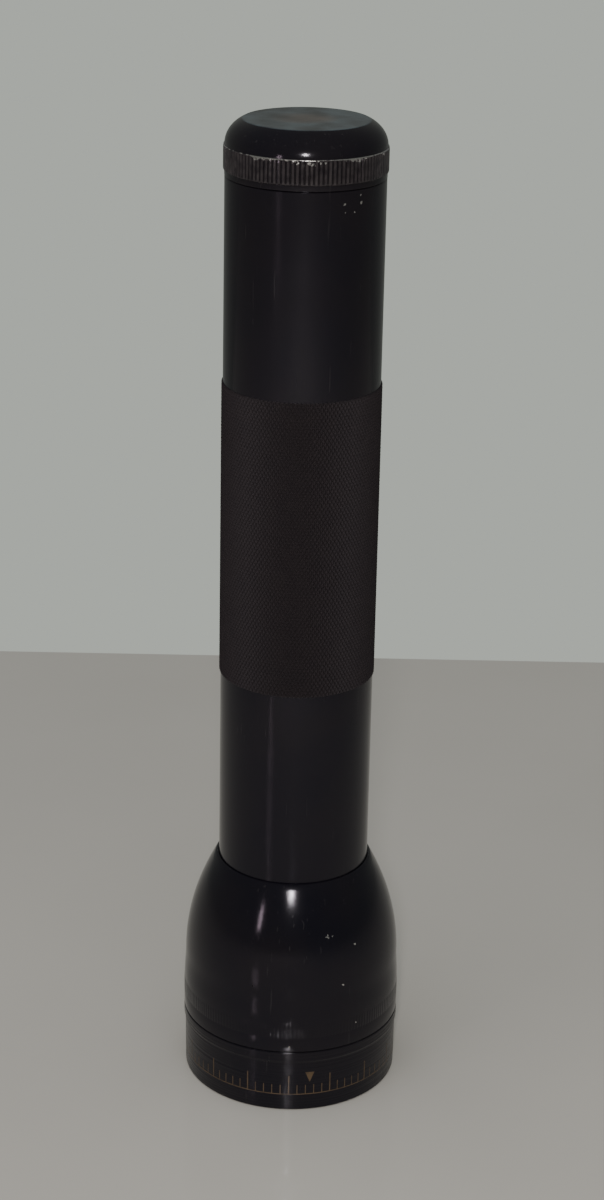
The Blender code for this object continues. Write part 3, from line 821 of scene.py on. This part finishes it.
def make_pieces(frame):
    """All pieces, with the places of the chips that the photo shows and a few at the back."""
    barrel_nicks = [(42, 239.2, 0.24), (42, 237.1, 0.32), (36, 235.2, 0.24), (28, 237.3, 0.22)]
    barrel_nicks += [(29, 235.5, 0.2), (118, 231.0, 0.3), (205, 70.5, 0.3), (160, 221.0, 0.2)]
    barrel_nicks = [(turn, BARREL_R, z, size) for turn, z, size in barrel_nicks]
    head_nicks = [(21, 25.7, 49.0, 0.42), (24, 25.7, 49.0, 0.26), (38, 26.6, 45.5, 0.24)]
    head_nicks += [(29, 28.0, 35.5, 0.24), (37, 28.4, 23.5, 0.2), (-20, 28.1, 29.0, 0.18)]
    head_nicks += [(0, 28.4, 19.0, 0.3), (140, 27.0, 44.0, 0.28), (215, 28.05, 30.0, 0.3)]
    rib_nicks = [(-5, 247.2, 0.4), (-1, 246.6, 0.3), (13, 247.3, 0.25)]
    rib_nicks += [(2, 247.2, 0.4), (5, 247.0, 0.4), (9, 247.4, 0.35)]
    rib_nicks = [(turn, TAIL_CAP_R, z, size) for turn, z, size in rib_nicks]
    make_barrel(anodised("barrel_black", 0.14, 0.4, barrel_nicks, dirt=0.5, brown=0.1))
    make_head(anodised("head_black", 0.10, 0.1, head_nicks, dirt=0.3, brown=0.15))
    make_face_cap(anodised("face_cap_black", 0.20, 1.0, wear=0.45, brown=0.15, scale_marks=True))
    make_tail_cap(anodised("tail_cap_black", 0.12, 0.2, rib_nicks, dirt=0.3, wear=0.6, tail_end=True))

    rubber = moulded("seal_rubber", (0.018, 0.018, 0.019), 0.6)
    steel = metal("bright_steel", (0.58, 0.58, 0.59), 0.22)
    brass = metal("bright_brass", (0.78, 0.60, 0.30), 0.2)
    black = moulded("black_nylon", (0.020, 0.020, 0.022), 0.5)
    white = moulded("white_nylon", (0.74, 0.73, 0.70), 0.45)
    clear = glass("clear_glass", (0.97, 0.985, 0.99), 0.01)
    make_reflector(mirror("mirror_coat"))
    make_lens(glass("lens_glass", (0.95, 0.975, 0.98), 0.012))
    make_seal("face_cap_gasket", rubber, "lens", "face_cap_seal", 25.85, 3.45, 0.72)
    make_seal("head_gasket", rubber, "head_seal", "head_o_ring", 20.27, 56.7, 0.55)
    make_seal("tail_cap_gasket", rubber, "tail_seal", "tail_cap_o_ring", 17.2, 238.6, 0.55)
    make_lamp(clear, brass, metal("tungsten_wire", (0.32, 0.32, 0.34), 0.35))
    make_springs(steel)
    make_boot(moulded("boot_rubber_soft", (0.011, 0.011, 0.012), 0.55, 1100))

    finish_nodes(frame, black, "lamp_collar", "lamp_holder", "switch_front_housing", "switch_rear_housing")
    finish_nodes(frame, white, "switch_plunger", "boot_retainer", "switch_rotor", "spare_lamp_holder")
    finish_nodes(frame, steel, "snap_ring", "ground_set_screw", "cell_1_terminal", "cell_2_terminal")
    finish_nodes(frame, brass, "lamp_contact", "battery_contact", "ground_contact", "spare_lamp_base")
    finish_nodes(frame, jacket("cell_foil"), "cell_1", "cell_2")
    finish_nodes(frame, clear, "spare_lamp_glass")


# ---------------------------------------------------------------- the stage


def make_stage():
    half_width, front = 3.0, -3.0
    corners = [
        (-half_width, front, 0),
        (half_width, front, 0),
        (half_width, TABLE_EDGE_Y, 0),
        (-half_width, TABLE_EDGE_Y, 0),
    ]
    table = named_mesh("table", corners, [(0, 1, 2, 3)])
    table.data.materials.append(table_top("pale_table"))

    world = bpy.data.worlds.new("room")
    world.use_nodes = True
    tree = world.node_tree
    background = tree.nodes["Background"]
    background.inputs["Color"].default_value = (0.85, 0.90, 0.82, 1.0)
    seen = tree.nodes.new("ShaderNodeLightPath").outputs["Is Camera Ray"]
    strength = tree.nodes.new("ShaderNodeMapRange")
    strength.inputs["To Min"].default_value = ROOM_LIGHT
    strength.inputs["To Max"].default_value = WALL_LIGHT
    tree.links.new(seen, strength.inputs["Value"])
    tree.links.new(strength.outputs[0], background.inputs["Strength"])
    bpy.context.scene.world = world


def light(name, kind, place, power, size, colour=(1, 1, 1)):
    """A lamp that points at the middle of the flashlight."""
    lamp = bpy.data.lights.new(name, kind)
    lamp.energy = power
    lamp.color = colour
    if kind == "AREA":
        lamp.size = size
    else:
        lamp.shadow_soft_size = size
    obj = bpy.data.objects.new(name, lamp)
    obj.location = place
    obj.rotation_mode = "QUATERNION"
    obj.rotation_quaternion = (Vector(LIGHT_TARGET) - Vector(place)).to_track_quat("-Z", "Y")
    bpy.context.scene.collection.objects.link(obj)
    return obj


def make_lights():
    light("front_lamp", "POINT", (-0.012, -0.6145, 0.3772), 8.0, 0.025, (1.0, 0.96, 0.90))
    soft = light("soft_top", "AREA", (-0.1, -0.3, 1.3), 8.6, 1.2)
    soft.visible_glossy = False
    for side in (-1, 1):
        fill = light(f"back_fill_{side + 2}", "AREA", (0.55 * side, 0.75, 0.5), 0.5, 0.45)
        fill.visible_glossy = False
    strip = light("side_strip", "AREA", (-0.42, -0.56, 0.21), 0.22, 0.02, (1.0, 0.80, 0.84))
    strip.data.shape, strip.data.size_y = "RECTANGLE", 0.13


def make_camera():
    lens = bpy.data.cameras.new("camera")
    lens.lens = LENS_MM
    lens.sensor_fit = "AUTO"
    lens.sensor_width = SENSOR_MM
    lens.clip_start = 0.01
    camera = bpy.data.objects.new("camera", lens)
    bpy.context.scene.collection.objects.link(camera)
    turn = (
        Matrix.Rotation(-math.radians(CAMERA_YAW), 4, "Z")
        @ Matrix.Rotation(math.radians(90 - CAMERA_PITCH), 4, "X")
        @ Matrix.Rotation(math.radians(CAMERA_ROLL), 4, "Z")
    )
    camera.matrix_world = Matrix.Translation(CAMERA_PLACE) @ turn
    bpy.context.scene.camera = camera


# ---------------------------------------------------------------- the scene


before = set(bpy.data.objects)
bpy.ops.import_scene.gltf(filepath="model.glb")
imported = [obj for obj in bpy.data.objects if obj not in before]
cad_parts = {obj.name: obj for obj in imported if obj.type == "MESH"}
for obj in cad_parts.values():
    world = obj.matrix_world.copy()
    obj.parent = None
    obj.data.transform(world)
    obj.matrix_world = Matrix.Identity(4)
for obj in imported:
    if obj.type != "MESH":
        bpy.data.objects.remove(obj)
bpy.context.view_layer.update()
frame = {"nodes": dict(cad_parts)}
make_camera()
make_stage()
make_lights()
make_pieces(frame)
